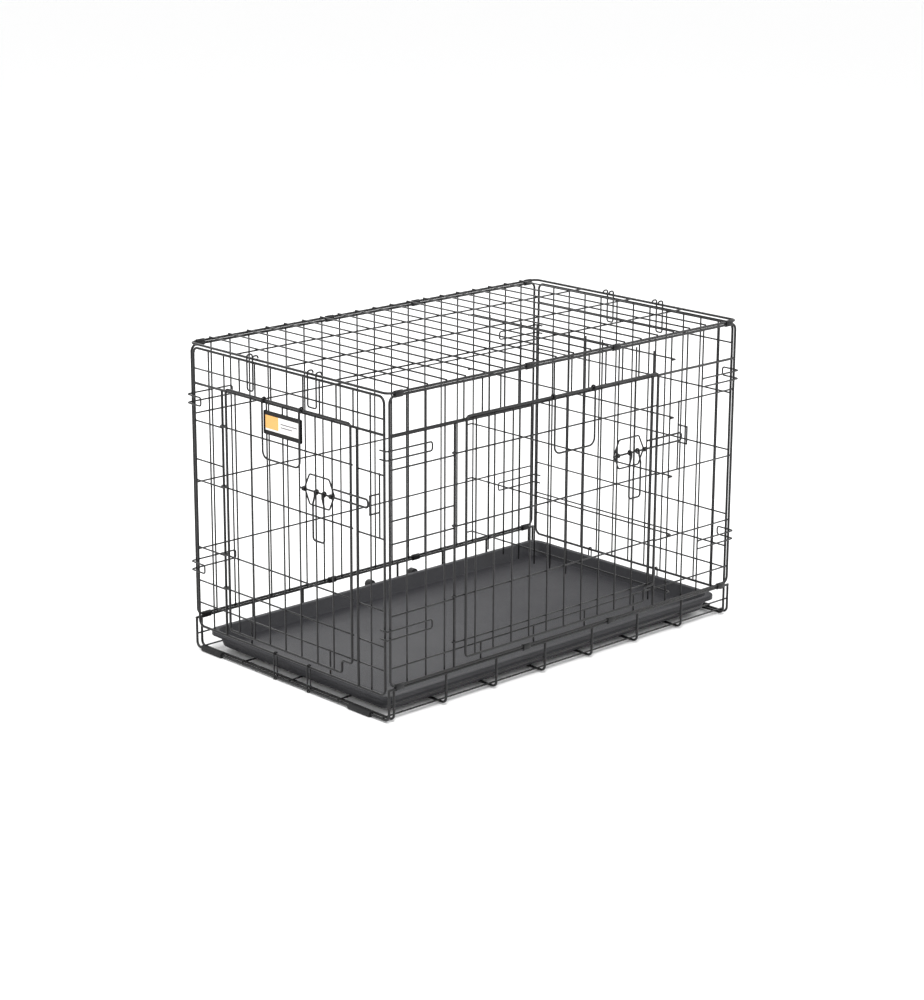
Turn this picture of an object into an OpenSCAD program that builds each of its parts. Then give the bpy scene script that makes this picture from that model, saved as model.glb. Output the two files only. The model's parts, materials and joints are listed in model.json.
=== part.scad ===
// Folding wire dog crate. Millimetres, +Z up, origin on the floor at the middle of the footprint.
// The long walls stand at -Y (with the side door) and +Y, the end panels at -X (with the end door) and +X.

/* [Crate] */
// Length over the long walls' end uprights
crate_l = 776; // [770:1:780]
// Distance between the long walls, wire centre to wire centre
crate_w = 474; // [470:1:478]
// Height of the top panel's edge wire
top_z = 516; // [514:1:519]

/* [Wire] */
// Diameter of the frame wires
frame_d = 3.8; // [3.6:0.1:3.9]
// Diameter of the grid wires
grid_d = 2.4; // [2:0.1:2.5]
// Number of grid spaces along a long wall
grid_n = 20; // [20:1:20]
// Bend radius of a panel's corners
corner_r = 11; // [8:1:13]

/* [Base] */
// Height of the lowest wires' centres
floor_z = 4.5; // [4.5:0.1:4.8]
// Height of the base's rim wire
rim_z = 54; // [52:1:55]
// Length of a foot sleeve
foot_l = 50; // [40:1:56]
// Diameter of a foot sleeve
foot_d = 10; // [9.4:0.1:10.4]
// Length of the pan
pan_l = 760; // [740:1:762]
// Width of the pan
pan_w = 446; // [430:1:448]
// Height of the pan
pan_h = 26; // [20:1:27]
// Thickness of the pan
pan_t = 2; // [1.5:0.1:3]

/* [Doors] */
// Height of both doors' top wires
door_top = 458; // [456:1:458]
// Height of the side door's bottom wire
side_door_z = 74; // [70:1:78]
// Height of the end door's bottom wire
end_door_z = 58; // [56:1:62]
// Height of both bolts
bolt_z = 338; // [330:1:345]
// Diameter of a bolt
bolt_d = 3.2; // [3:0.1:3.3]
// Width of a carry handle between its legs
handle_w = 90; // [80:1:94]
// Depth of a carry handle below its pivot
handle_h = 92; // [80:1:96]
// Width of the name plate
plate_w = 92; // [80:1:96]
// Height of the name plate
plate_h = 38; // [30:1:40]

/* [Hidden] */
$fn = 48;

// Gap between a wire's straight and bent runs, and between two wires welded across each other
seam = 0.02;
touch = 0.05;
// Running clearance round a wire that a ring or an eye turns on
run = 0.4;

fr = frame_d / 2;
gr = grid_d / 2;
lap = fr + gr + touch;
pair = grid_d + touch;
wall_y = crate_w / 2;
upright_x = crate_l / 2 - fr;
end_x = crate_l / 2 + 1;
pitch = crate_l / grid_n;
eps = 1;

// Walls
wall_bottom = 58.5;
wall_top = top_z - 4.5;
lintel_z = 452;
sill_z = 88;
rails = [171, 284, 399];
hinge_post = -254;
latch_post = 199;
grid_x = [for (i = [1:grid_n - 1]) -crate_l / 2 + i * pitch];
stiffener_x = [for (i = [5, 8, 11, 14]) -crate_l / 2 + i * pitch];

// End panels
end_y = wall_y - 8.5;
end_bottom = 43;
end_top = top_z - 6;
end_upper = 476;
end_hinge = 157;
end_latch = -167;
end_rails = [121, 178, 291, 390];
end_sill = 83;
end_side_y = 5 * pitch;
end_grid_y = [for (i = [-5:5]) i * pitch];

// Doors, as distances out from the plane of their panel
ring_r = fr + run + gr;
rail_out = ring_r;
bar_out = rail_out + pair;
leaf_out = rail_out + lap;
card_out = bar_out + gr + 0.1;
card_t = 1.4;
latch_out = bar_out + pair;
bolt_out = 13;
handle_out = 11;
handle_r = 1.6;
keeper_out = bolt_out + 3.2;
// Door rails stand a little higher than the panel rails that meet the same post
rail_lift = 4;
bolt_r = bolt_d / 2;
guide_r = bolt_out - latch_out - gr - touch;
eye_r = 4.4;

// Door widths and bars, measured along their panel
side_right = 191;
side_bars = [for (i = [0:10]) -215 + i * 39.2];
end_right = 160;
end_bars = [for (i = [-3:3]) i * pitch];

// Base
hoop_pitch = 108.3;
hoop_x = [for (i = [-3.5:3.5]) i * hoop_pitch];
mid_z = 28;
foot_y = [-170, 196];
pan_z = floor_z + fr + grid_d + touch + 0.4;

// Clips and hooks
clip_l = 16;
clip_t = 1.2;
clip_x = [-368.6, -97, 97, 368.6];
hook_z = [136, 416];
hook_h = 14;
hook_out = 6;
hook_end = 303;
link_r = 1;
link_y = [34, -48];

divider_x = pitch * 6 + 3.8;
divider_rails = [75, 175, 275, 375, 473];
divider_foot = 51;
divider_head = 480;

// Straight wires along each axis
module wire_x(a, b, y, z, r) translate([a, y, z]) rotate([0, 90, 0]) cylinder(h = b - a, r = r);
module wire_y(a, b, x, z, r) translate([x, a, z]) rotate([-90, 0, 0]) cylinder(h = b - a, r = r);
module wire_z(a, b, x, y, r) translate([x, y, a]) cylinder(h = b - a, r = r);

// A drawing of x and z stood up at a given y, and of y and z stood up at a given x
module in_xz(y) translate([0, y, 0]) rotate([90, 0, 0]) children();
module in_yz(x) translate([x, 0, 0]) rotate([90, 0, 90]) children();

function wrap(a) = a > 180 ? a - 360 : (a < -180 ? a + 360 : a);
function at(p, i) = p[(i + len(p)) % len(p)];
function way(p, i) = atan2(at(p, i + 1)[1] - at(p, i)[1], at(p, i + 1)[0] - at(p, i)[0]);
function turn(p, i) = wrap(way(p, i) - way(p, i - 1));
function bends(p, i, closed) = closed || (i > 0 && i < len(p) - 1);
function trim(p, i, r, closed) = bends(p, i, closed) ? r * tan(abs(turn(p, i)) / 2) + seam : 0;

// A wire of radius r through flat points p, with each corner bent to radius bend_r
module bent_wire(p, r, bend_r, closed = false) {
    last = closed ? len(p) - 1 : len(p) - 2;
    for (i = [0:last]) {
        a = trim(p, i, bend_r, closed);
        b = trim(p, i + 1, bend_r, closed);
        translate(at(p, i))
            rotate(way(p, i))
                wire_x(a, norm(at(p, i + 1) - at(p, i)) - b, 0, 0, r);
    }
    for (i = [closed ? 0 : 1:last]) elbow(at(p, i), way(p, i - 1), turn(p, i), r, bend_r);
}

// One bend at a corner point, for a wire that comes in along heading and turns by angle
module elbow(corner, heading, angle, r, bend_r) {
    side = sign(angle);
    start = side > 0 ? -90 : 90 - abs(angle);
    translate(corner)
        rotate(heading)
            translate([-bend_r * tan(abs(angle) / 2), side * bend_r, 0])
                rotate_extrude(angle = abs(angle), start = start)
                    translate([bend_r, 0])
                        circle(r = r);
}

// A tube along X or Y
module tube_x(l, r, bore) rotate([0, 90, 0]) difference() {
    cylinder(h = l, r = r, center = true);
    cylinder(h = l + 2 * eps, r = bore, center = true);
}
module tube_y(l, r, bore) rotate([0, 0, 90]) tube_x(l, r, bore);

module black() color([0.07, 0.07, 0.075]) children();

// ---------------------------------------------------------------- base

module hoop(x) {
    top = rim_z - fr - touch;
    in_yz(x)
        bent_wire([[-wall_y, top], [-wall_y, floor_z], [wall_y, floor_z], [wall_y, top]], fr, 9);
}

module floor_panel() black() {
    for (x = concat([-end_x, end_x], hoop_x)) hoop(x);
    for (s = [-1, 1]) {
        wire_x(-end_x - fr, end_x + fr, s * wall_y, rim_z, fr);
        wire_x(-end_x - fr, end_x + fr, s * (wall_y - lap), mid_z, gr);
    }
    for (y = [-wall_y + 13, -118, 0, 118, wall_y - 13])
        wire_x(-end_x - fr, end_x + fr, y, floor_z + lap, gr);
}

module foot_sleeves() color([0.03, 0.03, 0.03])
    for (x = [-end_x, end_x], y = foot_y)
        translate([x, y, floor_z])
            difference() {
                tube_y(foot_l, foot_d / 2, fr + touch);
                translate([-foot_d, -foot_l, -foot_d - floor_z])
                    cube([2 * foot_d, 2 * foot_l, foot_d]);
            }

function rounded(l, w, r, n = 6) = [
    for (c = [[1, 1, 0], [-1, 1, 90], [-1, -1, 180], [1, -1, 270]], k = [0:n])
        [c[0] * (l / 2 - r) + r * cos(c[2] + k * 90 / n), c[1] * (w / 2 - r) + r * sin(c[2] + k * 90 / n)]
];

module pan() color([0.22, 0.22, 0.23]) translate([0, 0, pan_z]) {
    lip = 7;
    difference() {
        union() {
            linear_extrude(pan_h) polygon(rounded(pan_l - 2 * lip, pan_w - 2 * lip, 14));
            translate([0, 0, pan_h - pan_t])
                linear_extrude(pan_t)
                    polygon(rounded(pan_l, pan_w, 18));
        }
        translate([0, 0, pan_t])
            linear_extrude(pan_h)
                polygon(rounded(pan_l - 2 * lip - 2 * pan_t, pan_w - 2 * lip - 2 * pan_t, 12));
    }
}

module pan_clips() color([0.04, 0.04, 0.04])
    for (x = [-8, 92])
        translate([x, wall_y - lap, mid_z])
            difference() {
                union() {
                    rotate([-90, 0, 0]) cylinder(h = 13, r = 8);
                    rotate([90, 0, 0]) cylinder(h = 4, r = 5);
                }
                wire_x(-20, 20, 0, 0, gr + touch);
            }

// ---------------------------------------------------------------- long walls

module wall_frame(side) in_xz(side * wall_y)
    bent_wire([
        [-upright_x, wall_bottom], [upright_x, wall_bottom], [upright_x, wall_top], [-upright_x, wall_top]
    ], fr, corner_r, true);

// A grid rail between two thick uprights, just proud of the uprights that it crosses
module wall_rail(side, a, b, z) wire_x(a + fr + touch, b - fr - touch, side * (wall_y - lap + pair), z, gr);
module wall_bar(side, x, a, b) wire_z(a - eps, b + eps, x, side * (wall_y - lap), gr);

module front_wall_frame() black() {
    wall_frame(-1);
    wire_x(-upright_x + fr + touch, upright_x - fr - touch, -wall_y, lintel_z, fr);
    for (x = [hinge_post, latch_post])
        wire_z(wall_bottom + fr + touch, lintel_z - fr - touch, x, -wall_y, fr);
}

module front_wall_grid() black() {
    for (x = grid_x)
        if (x < hinge_post || x > latch_post) wall_bar(-1, x, wall_bottom, wall_top);
        else wall_bar(-1, x, lintel_z, wall_top);
    for (x = stiffener_x) wall_bar(-1, x, wall_bottom, sill_z);
    for (z = concat([sill_z], rails)) {
        wall_rail(-1, -upright_x, hinge_post, z);
        wall_rail(-1, latch_post, upright_x, z);
    }
    wall_rail(-1, hinge_post, latch_post, sill_z);
    wall_rail(-1, -upright_x, hinge_post, 320);
}

module back_wall_frame() black() wall_frame(1);

module back_wall_grid() black() {
    for (x = grid_x) wall_bar(1, x, wall_bottom, wall_top);
    for (z = rails) wall_rail(1, -upright_x, upright_x, z);
}

// ---------------------------------------------------------------- top

module top_frame() black() translate([0, 0, top_z])
    bent_wire([
        [-end_x, -wall_y], [end_x, -wall_y], [end_x, wall_y], [-end_x, wall_y]
    ], fr, corner_r, true);

module top_grid() black() {
    for (x = grid_x) wire_y(-wall_y - eps, wall_y + eps, x, top_z + lap, gr);
    for (y = [-wall_y / 2, 0, wall_y / 2])
        wire_x(-end_x + fr + touch, end_x - fr - touch, y, top_z + lap - pair, gr);
}

// ---------------------------------------------------------------- clips, hooks and links

// A folded steel sleeve that holds two parallel wires 4.5 mm apart, the lower one at z
module clip(x, y, z) {
    in_d = frame_d + 0.3;
    translate([x - clip_l / 2, y - in_d / 2 - clip_t, z - in_d / 2 - clip_t])
        difference() {
            cube([clip_l, in_d + 2 * clip_t, in_d + 4.5 + 2 * clip_t]);
            translate([-eps, clip_t, clip_t]) cube([clip_l + 2 * eps, in_d, in_d + 4.5]);
        }
}

module top_clips_front() black() for (x = clip_x) clip(x, -wall_y, wall_top);
module top_clips_back() black() for (x = clip_x) clip(x, wall_y, wall_top);
module floor_clips_front() black() for (x = clip_x) clip(x, -wall_y, rim_z);
module floor_clips_back() black() for (x = clip_x) clip(x, wall_y, rim_z);

// A hairpin on a long wall's outer face that turns the corner and holds the end panel's upright.
// Drawn for the -X, -Y corner. A short one ends in two stubs, a long one in a closed loop.
module corner_hook(z, closed_loop) {
    y = -wall_y - lap;
    x = -end_x - hook_out;
    in_xz(y)
        bent_wire([[-380, z], [-hook_end, z], [-hook_end, z + hook_h], [-380, z + hook_h]], gr, 4);
    for (h = [z, z + hook_h])
        translate([0, 0, h])
            bent_wire([[-380 - seam, y], [x, y], [x, -end_y + 4]], gr, 5);
    if (closed_loop)
        in_yz(x)
            bent_wire([
                [-end_y + 4 + seam, z], [-end_y + 24, z],
                [-end_y + 24, z + hook_h], [-end_y + 4 + seam, z + hook_h]
            ], gr, 4);
}

module corner_hooks_near_front() black()
    for (z = hook_z) corner_hook(z, false);
module corner_hooks_near_back() black()
    mirror([0, 1, 0]) for (z = hook_z) corner_hook(z + 2, true);
module corner_hooks_far_front() black()
    mirror([1, 0, 0]) for (z = hook_z) corner_hook(z, true);
module corner_hooks_far_back() black()
    mirror([1, 0, 0]) mirror([0, 1, 0]) for (z = hook_z) corner_hook(z + 2, false);

// A double hook bent over the top panel's end wire and lying on the end panel's outer face
module top_hook(y1, y2) {
    x = -end_x - hook_out;
    for (y = [y1, y2])
        in_xz(y)
            bent_wire([[x, 500 + seam], [x, top_z + 6], [x + 11, top_z + 6], [x + 11, top_z + 1]], gr, 4);
    in_yz(x)
        bent_wire([[y1, 500], [y1, 466], [y2, 466], [y2, 500]], gr, 4);
}

module near_top_hooks() black() {
    top_hook(85, 71);
    top_hook(-61, -81);
}
module far_top_hooks() black() mirror([1, 0, 0]) {
    top_hook(65, 51);
    top_hook(-51, -65);
}

// A closed link round the base's end wire and an end panel's bottom wire
module bottom_link(y) {
    half = fr + 0.5 + link_r;
    in_xz(y)
        bent_wire([
            [-end_x - half, floor_z - half], [-end_x + half, floor_z - half],
            [-end_x + half, end_bottom + half], [-end_x - half, end_bottom + half]
        ], link_r, 2.6, true);
}

module near_bottom_links() black() for (y = link_y) bottom_link(y);
module far_bottom_links() black() mirror([1, 0, 0]) for (y = [90, -71]) bottom_link(y);

// ---------------------------------------------------------------- end panels

// Both end panels are drawn at -X; the far one is mirrored
module end_frame() in_yz(-end_x)
    bent_wire([
        [-end_y, end_bottom], [end_y, end_bottom], [end_y, end_top], [-end_y, end_top]
    ], fr, corner_r, true);

module end_rail(a, b, z) wire_y(a + fr + touch, b - fr - touch, -end_x + lap - pair, z, gr);
module end_bar(y, a, b) wire_z(a - eps, b + eps, -end_x + lap, y, gr);

module near_end_frame() black() {
    end_frame();
    wire_y(-end_y + fr + touch, end_y - fr - touch, -end_x, lintel_z, fr);
    for (y = [end_hinge, end_latch])
        wire_z(end_bottom + fr + touch, lintel_z - fr - touch, -end_x, y, fr);
}

module near_end_grid() black() {
    for (y = end_grid_y)
        if (abs(y) < end_side_y - eps) end_bar(y, lintel_z, end_top);
    for (s = [-1, 1]) {
        end_bar(s * end_side_y, end_bottom, end_top);
        end_bar(s * 97, end_bottom, end_sill);
    }
    end_rail(-end_y, end_y, end_upper);
    for (z = concat([end_sill], end_rails)) {
        end_rail(-end_y, end_latch, z);
        end_rail(end_hinge, end_y, z);
    }
    end_rail(end_latch, end_hinge, end_sill);
    end_rail(end_hinge, end_y, 326);
}

module far_end_frame() black() mirror([1, 0, 0]) end_frame();

module far_end_grid() black() mirror([1, 0, 0]) {
    for (y = end_grid_y) wire_z(end_bottom - eps, end_top + eps, -end_x - lap, y, gr);
    for (z = concat([end_sill, end_upper], end_rails)) wire_y(
        -end_y + fr + touch, end_y - fr - touch, -end_x - lap + pair, z, gr
    );
}

// ---------------------------------------------------------------- doors

// Door parts are drawn flat: u runs away from the hinge along the panel, z up, and out of the panel is -Y.
// The side door's u is world x; the end door is turned so that its u runs along -Y.
module leaf(hinge, right, bottom, notch_u, notch_z) in_xz(-leaf_out)
    bent_wire([
        [hinge + 18, bottom], [right - notch_u, bottom], [right - notch_u, bottom + notch_z],
        [right, bottom + notch_z], [right, door_top], [hinge + 18, door_top]
    ], fr, 6, true);

// A door rail whose end closes round the hinge post as an eye
module door_rail(hinge, right, z) {
    wire_x(hinge + seam, right + eps, -rail_out, z, gr);
    translate([hinge, 0, z])
        rotate_extrude(angle = 300, start = -30)
            translate([ring_r, 0])
                circle(r = gr);
}

module door_bar(u, bottom) wire_z(bottom + fr + touch, door_top - fr - touch, u, -bar_out, gr);

// A six-sided wire plate with two bored guides for the bolt
module latch_plate(u) {
    in_xz(-latch_out)
        bent_wire([
            [u, bolt_z], [u + 12, bolt_z - 24], [u + 58, bolt_z - 24],
            [u + 70, bolt_z], [u + 58, bolt_z + 24], [u + 12, bolt_z + 24]
        ], gr, 3, true);
    for (g = [u + 4, u + 68])
        translate([g, -bolt_out, bolt_z])
            tube_x(4.4, guide_r, bolt_r + run);
}

// The bolt, a hairpin with its lower leg in the plate's guides
module bolt(u, tip) in_xz(-bolt_out)
    bent_wire([[u - 6, bolt_z], [tip, bolt_z], [tip, bolt_z + 13], [u + 74, bolt_z + 13]], bolt_r, 5);

// The finger loop that hangs from the bolt's lower leg by two eyes
module latch_loop(u) {
    for (g = [u + 32, u + 50])
        translate([g, -bolt_out, bolt_z])
            tube_x(3, guide_r, bolt_r + run);
    in_xz(-bolt_out)
        bent_wire([
            [u + 32, bolt_z - 3], [u + 28, bolt_z - 18], [u + 28, bolt_z - 76],
            [u + 54, bolt_z - 76], [u + 54, bolt_z - 18], [u + 50, bolt_z - 3]
        ], handle_r, 5);
}

// A staple on the panel that takes the bolt's tip
module keeper(u, a, b) {
    wire_z(a - eps, b + eps, u, lap, gr);
    for (z = [bolt_z - 8, bolt_z + 21])
        translate([u, 0, z])
            rotate([90, 0, 0])
                translate([0, 0, -lap + gr + touch])
                    cylinder(h = lap + keeper_out, r = gr);
    wire_z(bolt_z - 8 + gr + seam, bolt_z + 21 - gr - seam, u, -keeper_out, gr);
}

// A carry handle hung on the door's top wire by two eyes
module carry_handle(u) {
    for (s = [0, handle_w])
        translate([u + s, -leaf_out, door_top])
            tube_x(4, eye_r, fr + run);
    in_xz(-handle_out)
        bent_wire([
            [u, door_top - 2], [u, door_top - handle_h],
            [u + handle_w, door_top - handle_h], [u + handle_w, door_top - 2]
        ], handle_r, 12);
}

module on_side() translate([0, -wall_y, 0]) children();
module on_end() translate([-end_x, 0, 0]) rotate([0, 0, -90]) children();

module side_door_frame() black() on_side() leaf(hinge_post, side_right, side_door_z, 22, 24);
module side_door_grid() black() on_side() {
    for (z = rails) door_rail(hinge_post, side_right, z + rail_lift);
    door_rail(hinge_post, side_right, side_door_z + 24 + lap);
    for (u = side_bars) door_bar(u, u > side_right - 22 ? side_door_z + 24 : side_door_z);
}
module side_latch_plate() black() on_side() latch_plate(88);
module side_bolt() black() on_side() bolt(88, 244);
module side_latch_loop() black() on_side() latch_loop(89);
module side_keeper() black() on_side() keeper(254, rails[1], rails[2]);
module side_carry_handle() black() on_side() carry_handle(-50);

module end_door_frame() black() on_end() leaf(-end_hinge, end_right, end_door_z, 24, 21);
module end_door_grid() black() on_end() {
    for (z = end_rails) door_rail(-end_hinge, end_right, z + rail_lift);
    for (u = end_bars) door_bar(u, end_door_z);
}
module end_latch_plate() black() on_end() latch_plate(54);
module end_bolt() black() on_end() bolt(54, 206);
module end_latch_loop() black() on_end() latch_loop(55);
module end_keeper() black() on_end() keeper(214, end_rails[2], end_rails[3]);
module end_carry_handle() black() on_end() carry_handle(-44);

module name_plate() color([0.9, 0.9, 0.88]) on_end()
    translate([3 - plate_w / 2, -card_out - card_t, 424 - plate_h / 2])
        cube([plate_w, card_t, plate_h]);

// ---------------------------------------------------------------- divider

module divider_frame() black() for (z = divider_rails) {
    wire_y(-wall_y + 8 + seam, wall_y - 8 - seam, divider_x, z, gr);
    for (s = [0, 1])
        mirror([0, s, 0])
            translate([0, 0, z])
                bent_wire([
                    [divider_x, -wall_y + 8], [divider_x, -wall_y - 3], [divider_x - 11, -wall_y - 3]
                ], gr, 3);
}

module divider_grid() black() for (y = end_grid_y)
    wire_z(divider_foot, divider_head, divider_x - pair, y, gr);

floor_panel();
foot_sleeves();
pan();
pan_clips();
front_wall_frame();
front_wall_grid();
back_wall_frame();
back_wall_grid();
top_frame();
top_grid();
top_clips_front();
top_clips_back();
floor_clips_front();
floor_clips_back();
corner_hooks_near_front();
corner_hooks_near_back();
corner_hooks_far_front();
corner_hooks_far_back();
near_top_hooks();
far_top_hooks();
near_bottom_links();
far_bottom_links();
side_keeper();
near_end_frame();
near_end_grid();
end_keeper();
far_end_frame();
far_end_grid();
side_door_frame();
side_door_grid();
side_latch_plate();
side_bolt();
side_latch_loop();
side_carry_handle();
end_door_frame();
end_door_grid();
end_latch_plate();
end_bolt();
end_latch_loop();
end_carry_handle();
name_plate();
divider_frame();
divider_grid();
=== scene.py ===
import json
import math

import bmesh
import bpy
from bpy.props import FloatProperty, FloatVectorProperty, IntProperty, PointerProperty
from mathutils import Matrix, Vector


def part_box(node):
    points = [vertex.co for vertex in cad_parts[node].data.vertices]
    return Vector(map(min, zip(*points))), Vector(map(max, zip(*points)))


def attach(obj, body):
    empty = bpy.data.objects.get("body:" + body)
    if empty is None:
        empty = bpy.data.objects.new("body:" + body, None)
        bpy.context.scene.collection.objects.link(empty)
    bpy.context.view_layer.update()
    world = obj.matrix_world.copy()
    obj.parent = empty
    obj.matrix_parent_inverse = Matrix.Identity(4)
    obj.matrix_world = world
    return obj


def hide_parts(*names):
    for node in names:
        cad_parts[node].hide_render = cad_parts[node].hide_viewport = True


bl_info = {
    "name": "Wire Dog Crate",
    "version": (1, 0, 0),
    "blender": (4, 5, 0),
    "location": "View3D > Sidebar > Crate",
    "description": "Bends the wires and finishes the parts of a folding wire dog crate",
    "category": "Add Mesh",
}

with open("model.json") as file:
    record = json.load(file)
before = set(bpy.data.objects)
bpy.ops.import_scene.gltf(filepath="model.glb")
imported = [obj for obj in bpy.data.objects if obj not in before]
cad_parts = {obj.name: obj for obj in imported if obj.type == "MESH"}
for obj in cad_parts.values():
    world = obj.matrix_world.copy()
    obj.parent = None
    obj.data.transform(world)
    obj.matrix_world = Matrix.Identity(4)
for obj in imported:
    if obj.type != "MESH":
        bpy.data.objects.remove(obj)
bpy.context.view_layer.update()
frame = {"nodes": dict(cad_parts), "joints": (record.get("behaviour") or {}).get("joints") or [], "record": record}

MM = 0.001
X, Y, Z = Vector((1, 0, 0)), Vector((0, 1, 0)), Vector((0, 0, 1))
BODY_OF = {n: b for b, ns in frame["record"]["behaviour"]["bodies"].items() for n in ns}
JOINT = {j["name"]: j for j in frame["joints"]}
# Radii of the frame wires, the grid wires, the hanging loops and the latch plate's small eyes
THICK = 1.9 * MM
THIN = 1.2 * MM
LOOP = 1.6 * MM
EYE = 0.95 * MM
# Room between a bar and an eye that turns or slides on it
PLAY = 0.35 * MM
# How far a latch plate's slanted sides run along the plate
SLANT = 12 * MM


# ---------------------------------------------------------------- settings

class WireSettings(bpy.types.PropertyGroup):
    sides: IntProperty(name="Sides", description="Sides round a wire", default=14, min=6, max=32)
    bend_steps: IntProperty(
        name="Bend steps", description="Steps in a quarter bend", default=7, min=2, max=24)
    end_round: FloatProperty(
        name="End rounding", description="Rounding of a cut end, as a share of the wire's radius",
        default=0.45, min=0.05, max=0.9, subtype="FACTOR")
    coat: FloatProperty(name="Coat", description="Thickness of the coat on the wires", default=0.15 * MM,
                        unit="LENGTH")
    weld: FloatProperty(
        name="Weld size", description="Size of a weld against the thinner wire's radius",
        default=1.2, min=0.5, max=2)
    eye_turn: FloatProperty(
        name="Eye turn", description="How far a wire closes round its pivot", default=math.radians(318),
        subtype="ANGLE")


class TraySettings(bpy.types.PropertyGroup):
    wall: FloatProperty(
        name="Wall", description="Thickness of the moulded sheet", default=2.2 * MM, unit="LENGTH")
    draft: FloatProperty(
        name="Draft", description="How far the walls lean in", default=6 * MM, unit="LENGTH")
    rim: FloatProperty(name="Rim", description="Width of the flat rim", default=9 * MM, unit="LENGTH")
    curl: FloatProperty(
        name="Curl", description="Depth of the rim's turned edge", default=7 * MM, unit="LENGTH")
    corner: FloatProperty(name="Corner", description="Corner radius", default=18 * MM, unit="LENGTH")
    step: FloatProperty(
        name="Step", description="Height of the raised floor", default=1.6 * MM, unit="LENGTH")


class ClipSettings(bpy.types.PropertyGroup):
    gauge: FloatProperty(
        name="Gauge", description="Thickness of the sheet steel", default=1.1 * MM, unit="LENGTH")
    sleeve_slit: FloatProperty(name="Slit", description="Width of a foot sleeve's slit", default=1.2 * MM,
                               unit="LENGTH")


class FinishSettings(bpy.types.PropertyGroup):
    coat: FloatVectorProperty(name="Coat", description="Black coat on the wires", subtype="COLOR",
                              default=(0.008, 0.008, 0.0085))
    tray: FloatVectorProperty(name="Tray", description="Tray's plastic", subtype="COLOR",
                              default=(0.022, 0.022, 0.0255))
    sleeve: FloatVectorProperty(name="Sleeve", description="Foot sleeves", subtype="COLOR",
                                default=(0.006, 0.006, 0.0065))
    card: FloatVectorProperty(name="Card", description="Name plate's card", subtype="COLOR",
                              default=(0.82, 0.81, 0.78))
    badge: FloatVectorProperty(name="Badge", description="Name plate's badge", subtype="COLOR",
                               default=(0.86, 0.42, 0.075))
    ink: FloatVectorProperty(name="Ink", description="Name plate's bars", subtype="COLOR",
                             default=(0.11, 0.1, 0.12))
    floor: FloatVectorProperty(name="Floor", description="Studio floor", subtype="COLOR",
                               default=(0.93, 0.93, 0.93))


class CrateSettings(bpy.types.PropertyGroup):
    wire: PointerProperty(type=WireSettings)
    tray: PointerProperty(type=TraySettings)
    clip: PointerProperty(type=ClipSettings)
    finish: PointerProperty(type=FinishSettings)


def settings():
    return bpy.context.scene.wire_crate


# ---------------------------------------------------------------- shader groups

def new_group(name, inputs, outputs):
    """An empty shader group with named sockets: (name, type, default) each."""
    group = bpy.data.node_groups.new(name, "ShaderNodeTree")
    for label, kind, default in inputs:
        socket = group.interface.new_socket(label, in_out="INPUT", socket_type=kind)
        socket.default_value = default
    for label, kind in outputs:
        group.interface.new_socket(label, in_out="OUTPUT", socket_type=kind)
    return group, group.nodes.new("NodeGroupInput"), group.nodes.new("NodeGroupOutput")


def add(tree, kind, **values):
    """A node with its properties and its inputs' values set by name."""
    node = tree.nodes.new(kind)
    for key, value in values.items():
        if hasattr(node, key):
            setattr(node, key, value)
        else:
            node.inputs[key.replace("_", " ")].default_value = value
    return node


def feed(tree, sockets, values):
    """Gives each socket its value: a link where the value is a socket, else a plain setting."""
    for socket, value in zip(sockets, values):
        if isinstance(value, bpy.types.NodeSocket):
            tree.links.new(value, socket)
        else:
            socket.default_value = value


def math_node(tree, operation, a, b):
    node = add(tree, "ShaderNodeMath", operation=operation)
    feed(tree, node.inputs, (a, b))
    return node.outputs[0]


def mix_colour(tree, factor, a, b):
    node = add(tree, "ShaderNodeMix", data_type="RGBA")
    feed(tree, (node.inputs[0], node.inputs[6], node.inputs[7]), (factor, a, b))
    return node.outputs[2]


def ramp(tree, value, low, high):
    node = add(tree, "ShaderNodeMapRange")
    node.inputs["From Min"].default_value = low
    node.inputs["From Max"].default_value = high
    tree.links.new(value, node.inputs["Value"])
    return node.outputs["Result"]


def noise(tree, coords, scale, detail=3.0):
    node = add(tree, "ShaderNodeTexNoise", Scale=scale, Detail=detail)
    tree.links.new(coords, node.inputs["Vector"])
    return node.outputs["Fac"]


def coat_grain_group():
    """Dipped coat: a fine orange peel, slow changes of gloss, and thin rubbed patches."""
    if "Coat grain" in bpy.data.node_groups:
        return bpy.data.node_groups["Coat grain"]
    group, given, out = new_group(
        "Coat grain",
        [("Color", "NodeSocketColor", (0, 0, 0, 1)), ("Rubbed", "NodeSocketColor", (0.1, 0.1, 0.1, 1)),
         ("Roughness", "NodeSocketFloat", 0.3), ("Peel", "NodeSocketFloat", 900.0),
         ("Wear", "NodeSocketFloat", 0.3)],
        [("Color", "NodeSocketColor"), ("Roughness", "NodeSocketFloat"), ("Height", "NodeSocketFloat")])
    coords = group.nodes.new("ShaderNodeTexCoord").outputs["Object"]
    peel = add(group, "ShaderNodeTexNoise", Detail=2.0)
    group.links.new(coords, peel.inputs["Vector"])
    group.links.new(given.outputs["Peel"], peel.inputs["Scale"])
    cloud = noise(group, coords, 22.0, 4.0)
    fleck = ramp(group, noise(group, coords, 190.0, 5.0), 0.62, 0.74)
    rubbed = math_node(group, "MULTIPLY", fleck, given.outputs["Wear"])
    group.links.new(
        mix_colour(group, rubbed, given.outputs["Color"], given.outputs["Rubbed"]), out.inputs["Color"])
    change = math_node(group, "MULTIPLY", math_node(group, "SUBTRACT", cloud, 0.5), 0.3)
    rough = math_node(group, "ADD", given.outputs["Roughness"], change)
    group.links.new(math_node(group, "ADD", rough, math_node(group, "MULTIPLY", rubbed, 0.25)),
                    out.inputs["Roughness"])
    group.links.new(peel.outputs["Fac"], out.inputs["Height"])
    return group


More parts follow.
